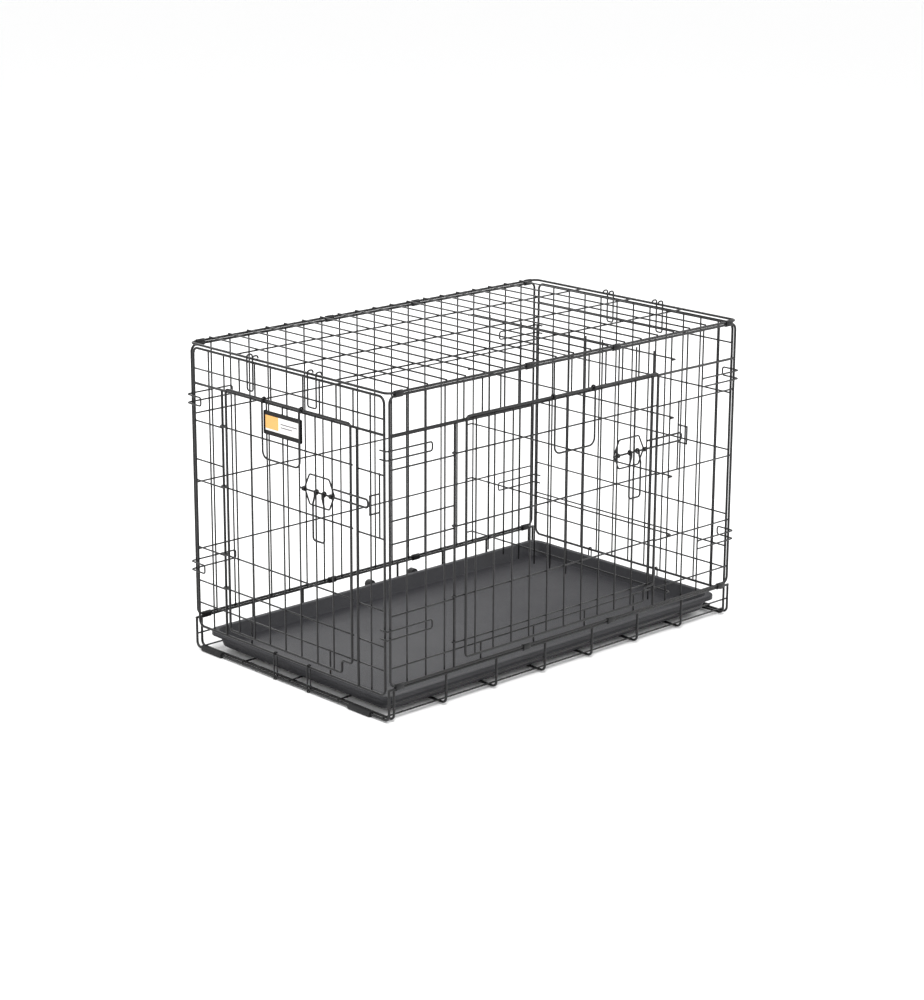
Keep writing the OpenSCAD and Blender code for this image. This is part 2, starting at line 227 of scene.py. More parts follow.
def leather_grain_group():
    """Moulded leather grain: small closed cells with rounded tops, and faint rubbing across them. The cell tops
    are painted lighter and the grooves between them darker, as painted shade.
    """
    if "Leather grain" in bpy.data.node_groups:
        return bpy.data.node_groups["Leather grain"]
    group, given, out = new_group(
        "Leather grain",
        [("Color", "NodeSocketColor", (0, 0, 0, 1)), ("Scuffed and painted tops", "NodeSocketColor", (0.1, 0.1, 0.1, 1)),
         ("Cells", "NodeSocketFloat", 420.0), ("Roughness", "NodeSocketFloat", 0.5)],
        [("Color", "NodeSocketColor"), ("Roughness", "NodeSocketFloat"), ("Height", "NodeSocketFloat")])
    coords = group.nodes.new("ShaderNodeTexCoord").outputs["Object"]
    cells = add(group, "ShaderNodeTexVoronoi", feature="DISTANCE_TO_EDGE")
    group.links.new(coords, cells.inputs["Vector"])
    group.links.new(given.outputs["Cells"], cells.inputs["Scale"])
    top = ramp(group, cells.outputs["Distance"], 0.0, 0.16)
    stretch = add(group, "ShaderNodeMapping")
    stretch.inputs["Scale"].default_value = (0.35, 3.0, 1.0)
    group.links.new(coords, stretch.inputs["Vector"])
    scratch = ramp(group, noise(group, stretch.outputs["Vector"], 60.0, 6.0), 0.56, 0.72)
    cloud = noise(group, coords, 7.0, 4.0)
    scuff = math_node(group, "MULTIPLY", math_node(group, "MULTIPLY", scratch, cloud), 0.75)
    # Painted shade: the cell tops are lightened toward the lighter colour, so the grooves between the cells stay
    # darker
    painted_groove_shade = mix_colour(group, math_node(group, "MULTIPLY", top, 0.35), given.outputs["Color"],
                       given.outputs["Scuffed and painted tops"])
    group.links.new(mix_colour(group, scuff, painted_groove_shade, given.outputs["Scuffed and painted tops"]), out.inputs["Color"])
    change = math_node(group, "MULTIPLY", math_node(group, "SUBTRACT", cloud, 0.5), 0.22)
    group.links.new(math_node(group, "ADD", given.outputs["Roughness"], change), out.inputs["Roughness"])
    group.links.new(top, out.inputs["Height"])
    return group


def fibre_group():
    """Printed card: faint fibres in the white and a slight mottle in the ink."""
    if "Card fibre" in bpy.data.node_groups:
        return bpy.data.node_groups["Card fibre"]
    group, given, out = new_group(
        "Card fibre", [("Color", "NodeSocketColor", (1, 1, 1, 1)), ("Mottle", "NodeSocketFloat", 0.08)],
        [("Color", "NodeSocketColor"), ("Roughness", "NodeSocketFloat"), ("Height", "NodeSocketFloat")])
    coords = group.nodes.new("ShaderNodeTexCoord").outputs["Object"]
    fibre = noise(group, coords, 1400.0, 5.0)
    patch = noise(group, coords, 90.0, 3.0)
    factor = math_node(group, "MULTIPLY", patch, given.outputs["Mottle"])
    mottled = mix_colour(group, factor, given.outputs["Color"], (0.25, 0.22, 0.18, 1))
    group.links.new(mottled, out.inputs["Color"])
    group.links.new(math_node(group, "ADD", math_node(group, "MULTIPLY", patch, 0.2), 0.3),
                    out.inputs["Roughness"])
    group.links.new(fibre, out.inputs["Height"])
    return group


# ---------------------------------------------------------------- materials

def surface(name, group, values, bump, specular=0.5, coat=0.0):
    """A material whose Principled shader is fed by one shader group."""
    if name in bpy.data.materials:
        return bpy.data.materials[name]
    material = bpy.data.materials.new(name)
    material.use_nodes = True
    tree = material.node_tree
    shader = tree.nodes["Principled BSDF"]
    shader.inputs["Specular IOR Level"].default_value = specular
    shader.inputs["Coat Weight"].default_value = coat
    shader.inputs["Coat Roughness"].default_value = 0.18
    effect = add(tree, "ShaderNodeGroup", node_tree=group)
    for key, value in values.items():
        effect.inputs[key].default_value = value
    raised = add(tree, "ShaderNodeBump", Strength=bump[0], Distance=bump[1])
    tree.links.new(effect.outputs["Height"], raised.inputs["Height"])
    tree.links.new(effect.outputs["Color"], shader.inputs["Base Color"])
    tree.links.new(effect.outputs["Roughness"], shader.inputs["Roughness"])
    tree.links.new(raised.outputs["Normal"], shader.inputs["Normal"])
    return material


def opaque(colour, lift=0.0):
    return (colour[0] + lift, colour[1] + lift, colour[2] + lift, 1.0)


def black_coat():
    colour = settings().finish.coat
    return surface("Black coat", coat_grain_group(), {
        "Color": opaque(colour), "Rubbed": opaque(colour, 0.035), "Roughness": 0.34, "Peel": 700.0,
        "Wear": 0.5,
    }, (0.25, 0.12 * MM), 0.32)


def weld_coat():
    colour = settings().finish.coat
    return surface("Weld coat", coat_grain_group(), {
        "Color": opaque(colour), "Rubbed": opaque(colour, 0.05), "Roughness": 0.45, "Peel": 1600.0,
        "Wear": 0.7,
    }, (0.6, 0.2 * MM), 0.3)


def clip_coat():
    colour = settings().finish.coat
    return surface("Clip coat", coat_grain_group(), {
        "Color": opaque(colour, -0.004), "Rubbed": opaque(colour, 0.06), "Roughness": 0.38, "Peel": 500.0,
        "Wear": 0.6,
    }, (0.35, 0.15 * MM), 0.3)


def sleeve_rubber():
    colour = settings().finish.sleeve
    # The lighter colour paints both the scuffs and the painted light on the grain's cell tops, with painted shade
    # in the grooves
    return surface("Sleeve rubber", leather_grain_group(), {
        "Color": opaque(colour), "Scuffed and painted tops": opaque(colour, 0.03), "Cells": 900.0, "Roughness": 0.6,
    }, (0.35, 0.15 * MM), 0.25)


def tray_plastic():
    colour = settings().finish.tray
    # The lighter colour paints both the scuffs and the painted light on the grain's cell tops, with painted shade
    # in the grooves
    return surface("Tray plastic", leather_grain_group(), {
        "Color": opaque(colour), "Scuffed and painted tops": opaque(colour, 0.014), "Cells": 330.0, "Roughness": 0.5,
    }, (0.5, 0.3 * MM), 0.3)


def card_ink(name, colour, mottle, gloss=0.5):
    values = {"Color": opaque(colour), "Mottle": mottle}
    return surface(name, fibre_group(), values, (0.15, 0.05 * MM), gloss, gloss * 0.8)


# ---------------------------------------------------------------- mesh tools

def finish_piece(bm, name, body, materials, replaced=(), sharp=40):
    """Makes an object of bm with its materials and body, and hides the nodes it stands for."""
    mesh = bpy.data.meshes.new(name)
    bm.to_mesh(mesh)
    bm.free()
    for material in materials:
        mesh.materials.append(material)
    for face in mesh.polygons:
        face.use_smooth = True
    mesh.set_sharp_from_angle(angle=math.radians(sharp))
    piece = bpy.data.objects.new(name, mesh)
    bpy.context.scene.collection.objects.link(piece)
    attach(piece, body)
    if replaced:
        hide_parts(*replaced)
    return piece


def straight(vector):
    return ("straight", Vector(vector))


def bend(centre, axis, angle):
    return ("bend", Vector(centre), Vector(axis).normalized(), angle)


def bend_between(here, there, along, onward):
    """The bend that takes a wire from here, heading along, to there, heading onward."""
    angle = along.angle(onward)
    chord = there - here
    side = (chord - along * chord.dot(along)).normalized()
    radius = chord.length / (2 * math.sin(angle / 2))
    return bend(here + side * radius, along.cross(onward), angle)


def route(points, bend_r, closed=False):
    """(start, heading, moves) of a wire through the points, each corner bent to bend_r."""
    points = [Vector(p) for p in points]
    count = len(points)
    starts, ends = [], []
    legs = count if closed else count - 1
    for i in range(legs):
        a, b = points[i], points[(i + 1) % count]
        starts.append(a)
        ends.append(b)
    moves, cursor = [], None
    for i in range(legs):
        along = (ends[i] - starts[i]).normalized()
        trims = [0.0, 0.0]
        for k, other in ((0, i - 1), (1, i + 1)):
            if closed or 0 <= other < legs:
                other %= legs
                way = (ends[other] - starts[other]).normalized()
                trims[k] = bend_r * math.tan(along.angle(way) / 2)
        begin, stop = starts[i] + along * trims[0], ends[i] - along * trims[1]
        if cursor is not None:
            moves.append(bend_between(cursor, begin, heading, along))
        else:
            first, first_heading = begin, along
        moves.append(straight(stop - begin))
        cursor, heading = stop, along
    if closed:
        moves.append(bend_between(cursor, first, heading, first_heading))
    return first, first_heading, moves


def sweep(bm, start, heading, moves, radius, closed=False):
    """Draws a round wire through the moves by extruding and spinning its section, with rounded cut ends."""
    wire = settings().wire
    turned = heading.to_track_quat("Z", "Y").to_matrix().to_4x4()
    made = bmesh.ops.create_circle(
        bm, segments=wire.sides, radius=radius, matrix=Matrix.Translation(start) @ turned)
    first = made["verts"]
    edges = list({e for v in first for e in v.link_edges})
    first_edges = edges
    for move in moves:
        if move[0] == "straight":
            grown = bmesh.ops.extrude_edge_only(bm, edges=edges)["geom"]
            verts = [g for g in grown if isinstance(g, bmesh.types.BMVert)]
            bmesh.ops.translate(bm, verts=verts, vec=move[1])
            new = set(verts)
            edges = [g for g in grown if isinstance(g, bmesh.types.BMEdge) and set(g.verts) <= new]
        else:
            steps = max(2, round(wire.bend_steps * move[3] / math.radians(90)))
            verts = list({v for e in edges for v in e.verts})
            spun = bmesh.ops.spin(
                bm, geom=verts + edges, cent=move[1], axis=move[2], angle=move[3], steps=steps,
                use_duplicate=False)
            edges = [g for g in spun["geom_last"] if isinstance(g, bmesh.types.BMEdge)]
    last = list({v for e in edges for v in e.verts})
    if closed:
        bmesh.ops.remove_doubles(bm, verts=list(first) + last, dist=0.2 * MM)
        return
    rims = list(first_edges) + edges
    bmesh.ops.edgeloop_fill(bm, edges=rims)
    bmesh.ops.bevel(
        bm, geom=rims, offset=radius * wire.end_round, offset_type="OFFSET", segments=2, profile=0.5,
        affect="EDGES", material=-1)


def ring(bm, centre, axis, ring_r, wire_r, turns):
    """Close turns of wire round an axis, side by side."""
    axis = axis.normalized()
    side = axis.orthogonal().normalized()
    for k in range(turns):
        middle = centre + axis * (k - (turns - 1) / 2) * 2.02 * wire_r
        heading = axis.cross(side)
        moves = [bend(middle, axis, math.tau)]
        sweep(bm, middle + side * ring_r, heading, moves, wire_r, closed=True)


def outward(bm):
    bmesh.ops.recalc_face_normals(bm, faces=bm.faces)


# ---------------------------------------------------------------- reading the frame's wires

def flood(start, allowed, through):
    """The faces that can be reached from start, inside allowed, across edges that through accepts."""
    found, queue = {start}, [start]
    while queue:
        for edge in queue.pop().edges:
            for face in edge.link_faces:
                if face in allowed and face not in found and through(edge):
                    found.add(face)
                    queue.append(face)
    return found


def flat_end(region):
    """(centre, outward normal, radius) of a flat round end, or None if the region isn't flat."""
    faces = list(region)
    normal = faces[0].normal
    if any(face.normal.dot(normal) < 0.999 for face in faces):
        return None
    corners = {v for face in faces for v in face.verts}
    centre = sum((v.co for v in corners), Vector()) / len(corners)
    return centre, normal.copy(), sum((v.co - centre).length for v in corners) / len(corners)


def read_solids(node):
    """A node's plain wire runs, each as its two flat ends, and the boxes of its other solids."""
    bm = bmesh.new()
    bm.from_mesh(frame["nodes"][node].data)
    bmesh.ops.remove_doubles(bm, verts=bm.verts, dist=1e-6)
    bm.normal_update()
    runs, others, left = [], [], set(bm.faces)
    soft = math.radians(42)
    while left:
        solid = flood(next(iter(left)), left, lambda edge: True)
        left -= solid
        regions, rest = [], set(solid)
        while rest:
            region = flood(next(iter(rest)), rest, lambda e: e.is_manifold and e.calc_face_angle() < soft)
            rest -= region
            regions.append(region)
        ends = [end for end in map(flat_end, regions) if end]
        if len(regions) == 3 and len(ends) == 2:
            runs.append(sorted(ends, key=lambda end: tuple(round(c, 5) for c in end[0])))
        else:
            corners = [v.co for face in solid for v in face.verts]
            others.append((Vector(map(min, zip(*corners))), Vector(map(max, zip(*corners)))))
    bm.free()
    runs.sort(key=lambda run: tuple(round(c, 5) for end in run for c in end[0]))
    others.sort(key=lambda box: tuple(box[0]))
    return runs, others


def joined(a, b):
    return (a[0] - b[0]).length < 0.15 * MM and a[1].dot(b[1]) < -0.9


def wire_chains(runs):
    """The runs put end to end as whole wires: (start, heading, moves, radius, closed)."""
    ends = [(i, k) for i in range(len(runs)) for k in (0, 1)]
    mate = {}
    for n, (i, k) in enumerate(ends):
        for j, m in ends[n + 1:]:
            if i != j and joined(runs[i][k], runs[j][m]):
                mate[i, k], mate[j, m] = (j, m), (i, k)
    chains, used = [], set()
    order = [e for e in ends if e not in mate] + ends
    for entry in order:
        if entry[0] in used:
            continue
        start, normal, radius = runs[entry[0]][entry[1]]
        here, moves, at = start, [], entry
        while at is not None and at[0] not in used:
            used.add(at[0])
            along = -runs[at[0]][at[1]][1]
            leave = (at[0], 1 - at[1])
            there, onward, _ = runs[leave[0]][leave[1]]
            if along.dot(onward) > 0.9999:
                moves.append(straight(along * (there - here).dot(along)))
            else:
                moves.append(bend_between(here, there, along, onward))
            here, at = there, mate.get(leave)
        chains.append((start, -normal, moves, radius, at is not None))
    return chains


SOLIDS = {node: read_solids(node) for node in frame["nodes"]}
WIRE_NODES = [n for n, (runs, others) in SOLIDS.items() if runs and not others]


# ---------------------------------------------------------------- door drawing frames

def side_place():
    """Takes a door drawing to the front wall: x along the wall from the post, -y out of the wall."""
    return Matrix.Translation((0, JOINT["side_door_swing"]["pos_m"][1], 0))


def end_place():
    """Takes a door drawing to the near end panel."""
    panel = Matrix.Translation((JOINT["end_door_swing"]["pos_m"][0], 0, 0))
    return panel @ Matrix.Rotation(-math.pi / 2, 4, "Z")


DOORS = {"side": side_place(), "end": end_place()}


def local_box(lo, hi, place):
    """A box in a door's own drawing frame."""
    back = place.inverted()
    corners = [back @ Vector((x, y, z)) for x in (lo.x, hi.x) for y in (lo.y, hi.y) for z in (lo.z, hi.z)]
    return Vector(map(min, zip(*corners))), Vector(map(max, zip(*corners)))


def door_box(door, node):
    return local_box(*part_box(f"{door}_{node}"), DOORS[door])


def hinge_of(door):
    """The hinge post's axis in the door's drawing frame."""
    return DOORS[door].inverted() @ Vector(JOINT[f"{door}_door_swing"]["pos_m"])


# ---------------------------------------------------------------- operators

class CRATE_OT_bend_wires(bpy.types.Operator):
    """Bends every frame wire, grid wire, hook and link as one continuous wire with rounded cut ends"""
    bl_idname = "crate.bend_wires"
    bl_label = "Bend wires"

    def execute(self, context):
        for node in WIRE_NODES:
            bm = bmesh.new()
            coat = 0 if "bolt" in node else settings().wire.coat
            for start, heading, moves, radius, closed in wire_chains(SOLIDS[node][0]):
                sweep(bm, start, heading, moves, radius + coat, closed)
            outward(bm)
            finish_piece(bm, f"{node}_wires", BODY_OF[node], [black_coat()], [node])
        if not WIRE_NODES:
            raise RuntimeError("the frame holds no plain wires")
        return {"FINISHED"}


class CRATE_OT_door_rails(bpy.types.Operator):
    """Makes each door's rails with an eye closed round the hinge post, and its upright bars"""
    bl_idname = "crate.door_rails"
    bl_label = "Door rails"

    def execute(self, context):
        wire = settings().wire
        for door, place in DOORS.items():
            node = f"{door}_door_grid"
            runs, rails = SOLIDS[node]
            hinge = hinge_of(door)
            bm = bmesh.new()
            for low, high in rails:
                low, high = local_box(low, high, place)
                radius = (high.z - low.z) / 2 + wire.coat
                height = (low.z + high.z) / 2
                eye_r = hinge.y - low.y - radius + wire.coat
                start = Vector((high.x, hinge.y - eye_r, height))
                moves = [
                    straight((hinge.x - high.x, 0, 0)),
                    bend((hinge.x, hinge.y, height), -Z, wire.eye_turn),
                ]
                sweep(bm, start, -X, moves, radius)
            bm.transform(place)
            for start, heading, moves, radius, closed in wire_chains(runs):
                sweep(bm, start, heading, moves, radius + wire.coat, closed)
            outward(bm)
            finish_piece(bm, f"{node}_wires", BODY_OF[node], [black_coat()], [node])
        return {"FINISHED"}


def closest(a, b, c, d):
    """The closest points of segments ab and cd that aren't parallel, and how far along each they lie."""
    u, v, w = b - a, d - c, a - c
    uu, uv, vv, uw, vw = u.dot(u), u.dot(v), v.dot(v), u.dot(w), v.dot(w)
    det = uu * vv - uv * uv
    s = min(1, max(0, (uv * vw - vv * uw) / det))
    t = min(1, max(0, (s * uv + vw) / vv))
    s = min(1, max(0, (t * uv - uw) / uu))
    return a + u * s, c + v * t, s, t


def nugget(bm, place, across, along, size):
    """A small rounded weld, with its half sizes along one wire, beside it and through the joint."""
    along = along.normalized()
    across = across.normalized()
    turned = Matrix((along, across.cross(along), across)).transposed().to_4x4()
    stretch = Matrix.Diagonal((size[0], size[1], size[2], 1))
    bmesh.ops.create_uvsphere(
        bm, u_segments=8, v_segments=5, radius=1, matrix=Matrix.Translation(place) @ turned @ stretch)


class CRATE_OT_welds(bpy.types.Operator):
    """Puts a weld at every crossing and butt joint of a panel's wires"""
    bl_idname = "crate.welds"
    bl_label = "Welds"

    def execute(self, context):
        size = settings().wire.weld
        by_body = {}
        for node, (runs, _) in SOLIDS.items():
            segments = by_body.setdefault(BODY_OF[node], [])
            for (a, na, ra), (b, nb, _) in runs:
                if na.dot(nb) < -0.9999 and (b - a).length > 6 * MM:
                    segments.append((a, b, ra))
        for body, segments in by_body.items():
            bm = bmesh.new()
            for i, (a, b, ra) in enumerate(segments):
                for c, d, rc in segments[i + 1:]:
                    if abs((b - a).normalized().dot((d - c).normalized())) > 0.9:
                        continue
                    p, q, s, t = closest(a, b, c, d)
                    gap = (q - p).length
                    thin = min(ra, rc) * size
                    if abs(gap - ra - rc) < 0.15 * MM:
                        spot = p + (q - p) * (ra / gap)
                        nugget(bm, spot, q - p, b - a, (thin * 1.05, thin * 1.05, thin * 0.62))
                    for end, r_end, r_side, way in ((s, ra, rc, b - a), (t, rc, ra, d - c)):
                        if end in (0, 1) and abs(gap - r_side) < 0.25 * MM:
                            butt = p if way == b - a else q
                            wide = r_end * size
                            nugget(bm, butt, way.orthogonal(), way, (r_end * 0.8, wide, wide))
            if bm.verts:
                outward(bm)
                finish_piece(bm, f"{body}_welds", body, [weld_coat()])
            else:
                bm.free()
        return {"FINISHED"}


def eyed_loop(bm, centres, eye_r, corners, bend_r, radius):
    """A wire loop with an eye at each end round a bar along x, and its legs and foot through the corners.

    The legs leave the eyes on their outer side, a step of eye_r out from the bar.
    """
    turn = settings().wire.eye_turn
    left, right = (Vector(c) for c in centres)
    out = Vector((0, -eye_r, 0))
    points = [left + out] + [Vector(c) for c in corners] + [right + out]
    start, heading, moves = route(points, bend_r)
    back = Matrix.Rotation(-turn, 4, "X")
    first = left + back @ out
    moves = [bend(left, X, turn)] + moves + [bend(right, -X, turn)]
    sweep(bm, first, back @ -Z, moves, radius)


class CRATE_OT_latches(bpy.types.Operator):
    """Makes each door's six-sided latch plate with its guide eyes, and the finger loop on the bolt"""
    bl_idname = "crate.latches"
    bl_label = "Latches"

    def execute(self, context):
        for door, place in DOORS.items():
            bolt_low, bolt_high = door_box(door, "bolt")
            bolt_r = (bolt_high.y - bolt_low.y) / 2
            bolt_y = (bolt_low.y + bolt_high.y) / 2
            bolt_z = bolt_low.z + bolt_r
            self.plate(door, place, bolt_y, bolt_z, bolt_r)
            self.loop(door, place, bolt_y, bolt_z, bolt_r)
        return {"FINISHED"}

    def plate(self, door, place, bolt_y, bolt_z, bolt_r):
        low, high = door_box(door, "latch_plate")
        plane = high.y - THIN
        left, right = low.x + 0.9 * MM, high.x - 0.9 * MM
        half = (high.z - low.z) / 2 - THIN
        bm = bmesh.new()
        points = [
            (left, plane, bolt_z), (left + SLANT, plane, bolt_z - half),
            (right - SLANT, plane, bolt_z - half), (right, plane, bolt_z),
            (right - SLANT, plane, bolt_z + half), (left + SLANT, plane, bolt_z + half),
        ]
        sweep(bm, *route(points, 4 * MM, closed=True), THIN + settings().wire.coat, closed=True)
        eye_r = bolt_r + PLAY + EYE
        for corner, inward in ((left, 4.3 * MM), (right, -2.3 * MM)):
            x = corner + inward
            ring(bm, Vector((x, bolt_y, bolt_z)), X, eye_r, EYE, 3)
            reach = Vector((0, 0, half * abs(inward) / SLANT))
            post = Vector((x, plane - THIN, bolt_z))
            sweep(bm, post - reach, Z, [straight(2 * reach)], EYE)
        bm.transform(place)
        outward(bm)
        finish_piece(bm, f"{door}_latch_plate_wire", BODY_OF[f"{door}_latch_plate"], [black_coat()],
                     [f"{door}_latch_plate"])

    def loop(self, door, place, bolt_y, bolt_z, bolt_r):
        low, high = door_box(door, "latch_loop")
        eye_r = bolt_r + PLAY + LOOP
        left, right, foot = low.x + LOOP, high.x - LOOP, low.z + LOOP
        inset, y = 4 * MM, bolt_y - eye_r
        bm = bmesh.new()
        eyed_loop(
            bm, [(left + inset, bolt_y, bolt_z), (right - inset, bolt_y, bolt_z)], eye_r,
            [(left + inset, y, bolt_z - 6 * MM), (left, y, bolt_z - 18 * MM), (left, y, foot),
             (right, y, foot), (right, y, bolt_z - 18 * MM), (right - inset, y, bolt_z - 6 * MM)],
            5 * MM, LOOP)
        bm.transform(place)
        outward(bm)
        finish_piece(bm, f"{door}_finger_loop", BODY_OF[f"{door}_latch_loop"], [black_coat()],
                     [f"{door}_latch_loop"])


class CRATE_OT_handles(bpy.types.Operator):
    """Makes the carry handles that hang from the doors' top wires by two closed eyes"""
    bl_idname = "crate.handles"
    bl_label = "Carry handles"

    def execute(self, context):
        for door, place in DOORS.items():
            low, high = door_box(door, "carry_handle")
            pivot = place.inverted() @ Vector(JOINT[f"{door}_handle_swing"]["pos_m"])
            eye_r = THICK + PLAY + LOOP
            left, right, foot = low.x + 2 * MM, high.x - 2 * MM, low.z + LOOP
            y = pivot.y - eye_r
            bm = bmesh.new()
            eyed_loop(
                bm, [(left, pivot.y, pivot.z), (right, pivot.y, pivot.z)], eye_r,
                [(left, y, foot), (right, y, foot)], 12 * MM, LOOP)
            bm.transform(place)
            outward(bm)
            node = f"{door}_carry_handle"
            finish_piece(bm, f"{door}_carry_bail", BODY_OF[node], [black_coat()], [node])
        return {"FINISHED"}


def strap(bm, low, high, gauge):
    """A strip of sheet steel wrapped round two wires, one above the other, its seam on the inner side."""
    middle = (low + high) / 2
    radius = (high.y - low.y) / 2 - gauge
    top, bottom = high.z - gauge - radius, low.z + gauge + radius
    edge = [bm.verts.new((x, middle.y + radius, bottom)) for x in (low.x, high.x)]
    edges = [bm.edges.new(edge)]
    for kind, centre in (("rise", top), ("over", top), ("fall", bottom), ("under", bottom)):
        if kind in ("rise", "fall"):
            grown = bmesh.ops.extrude_edge_only(bm, edges=edges)["geom"]
            verts = [g for g in grown if isinstance(g, bmesh.types.BMVert)]
            drop = centre - verts[0].co.z
            bmesh.ops.translate(bm, verts=verts, vec=(0, 0, drop))
            edges = [g for g in grown if isinstance(g, bmesh.types.BMEdge) and set(g.verts) <= set(verts)]
        else:
            turn = math.radians(180 if kind == "over" else 165)
            verts = list({v for e in edges for v in e.verts})
            spun = bmesh.ops.spin(
                bm, geom=verts + edges, cent=(0, middle.y, centre), axis=X, angle=turn, steps=8,
                use_duplicate=False)
            edges = [g for g in spun["geom_last"] if isinstance(g, bmesh.types.BMEdge)]


class CRATE_OT_clips(bpy.types.Operator):
    """Wraps the steel clips that join the top and the base to the long walls"""
    bl_idname = "crate.clips"
    bl_label = "Clips"

    def execute(self, context):
        gauge = settings().clip.gauge
        for node in ("top_clips_front", "top_clips_back", "floor_clips_front", "floor_clips_back"):
            bm = bmesh.new()
            for low, high in SOLIDS[node][1]:
                strap(bm, low, high, gauge)
            outward(bm)
            piece = finish_piece(bm, f"{node}_wrapped", BODY_OF[node], [clip_coat()], [node])
            thick = piece.modifiers.new("Gauge", "SOLIDIFY")
            thick.thickness = gauge
            thick.offset = 1
            soft = piece.modifiers.new("Rolled edge", "BEVEL")
            soft.width = gauge * 0.3
            soft.segments = 2
            soft.limit_method = "ANGLE"
        return {"FINISHED"}


class CRATE_OT_feet(bpy.types.Operator):
    """Makes the slit sleeves on the base's end wires, each with a flat to stand on"""
    bl_idname = "crate.feet"
    bl_label = "Foot sleeves"

    def execute(self, context):
        bm = bmesh.new()
        for low, high in SOLIDS["foot_sleeves"][1]:
            self.sleeve(bm, low, high)
        outward(bm)
        node = "foot_sleeves"
        finish_piece(bm, f"{node}_slit", BODY_OF[node], [sleeve_rubber()], [node])
        return {"FINISHED"}

    def sleeve(self, bm, low, high):
        radius = (high.x - low.x) / 2
        centre = Vector(((low.x + high.x) / 2, low.y, high.z - radius))
        bore = THICK + 0.1 * MM
        half = math.asin(settings().clip.sleeve_slit / 2 / radius)
        part = bmesh.new()
        start = Matrix.Rotation(-math.pi / 2 + half, 4, "Y")
        edge = [part.verts.new(centre + start @ Vector((r, 0, 0))) for r in (bore, radius)]
        edges = [part.edges.new(edge)]
        spun = bmesh.ops.spin(
            part, geom=edge + edges, cent=centre, axis=Y, angle=math.tau - 2 * half, steps=36,
            use_duplicate=False)
        profile = list(part.faces)
        grown = bmesh.ops.extrude_face_region(part, geom=profile)["geom"]
        bmesh.ops.translate(
            part, verts=[g for g in grown if isinstance(g, bmesh.types.BMVert)], vec=(0, high.y - low.y, 0))
        bmesh.ops.bisect_plane(
            part, geom=part.verts[:] + part.edges[:] + part.faces[:], plane_co=(0, 0, low.z), plane_no=-Z,
            clear_outer=True)
        bmesh.ops.holes_fill(part, edges=[e for e in part.edges if e.is_boundary])
        outward(part)
        rims = [e for e in part.edges if e.is_manifold and e.calc_face_angle() > math.radians(60)]
        bmesh.ops.bevel(
            part, geom=rims, offset=0.45 * MM, offset_type="OFFSET", segments=2, profile=0.5, affect="EDGES",
            material=-1)
        mesh = bpy.data.meshes.new("sleeve")
        part.to_mesh(mesh)
        part.free()
        bm.from_mesh(mesh)
        bpy.data.meshes.remove(mesh)


class CRATE_OT_tray(bpy.types.Operator):
    """Moulds the pan: a raised floor, leaning walls, a flat rim and a turned-down edge"""
    bl_idname = "crate.tray"
    bl_label = "Pan"

    def execute(self, context):
        tray = settings().tray
        low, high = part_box("pan")
        middle = (low + high) / 2
        half = (high - low) / 2
        steps = [
            (3 * MM, -tray.step), (22 * MM, 0), (tray.draft, half.z * 2 - tray.wall), (tray.rim, 0),
            (0, -tray.curl),
        ]
        spread = sum(out for out, _ in steps)
        bm = bmesh.new()
        bmesh.ops.create_grid(bm, x_segments=1, y_segments=1, size=1)
        bmesh.ops.scale(bm, verts=bm.verts, vec=(half.x - spread, half.y - spread, 1))
        bmesh.ops.translate(bm, verts=bm.verts, vec=(middle.x, middle.y, low.z + tray.wall + tray.step))
        bmesh.ops.bevel(
            bm, geom=bm.verts[:], offset=tray.corner, offset_type="OFFSET", segments=7, profile=0.5,
            affect="VERTICES", material=-1)
        rim = [e for e in bm.edges if e.is_boundary]
        for out, up in steps:
            rim = self.grow(bm, rim, middle, out, up)
        outward(bm)
        if sum(face.normal.z * face.calc_area() for face in bm.faces) < 0:
            bmesh.ops.reverse_faces(bm, faces=bm.faces)
        piece = finish_piece(bm, "pan_moulded", BODY_OF["pan"], [tray_plastic()], ["pan"], sharp=180)
        round_edges = piece.modifiers.new("Rounded edges", "BEVEL")
        round_edges.width = 1.4 * MM
        round_edges.segments = 3
        round_edges.limit_method = "ANGLE"
        round_edges.angle_limit = math.radians(24)
        wall = piece.modifiers.new("Wall", "SOLIDIFY")
        wall.thickness = tray.wall
        wall.offset = -1
        return {"FINISHED"}

    def grow(self, bm, rim, middle, out, up):
        """Extrudes the rim outwards by out on every side and up by up."""
        grown = bmesh.ops.extrude_edge_only(bm, edges=rim)["geom"]
        verts = [g for g in grown if isinstance(g, bmesh.types.BMVert)]
        half = [max(abs(v.co[k] - middle[k]) for v in verts) for k in (0, 1)]
        scale = [(half[k] + out) / half[k] for k in (0, 1)]
        centre = Vector((middle.x, middle.y, 0))
        move = Matrix.Translation(centre) @ Matrix.Diagonal((*scale, 1, 1)) @ Matrix.Translation(-centre)
        bmesh.ops.transform(bm, matrix=move, verts=verts)
        bmesh.ops.translate(bm, verts=verts, vec=(0, 0, up))
        return [g for g in grown if isinstance(g, bmesh.types.BMEdge) and set(g.verts) <= set(verts)]


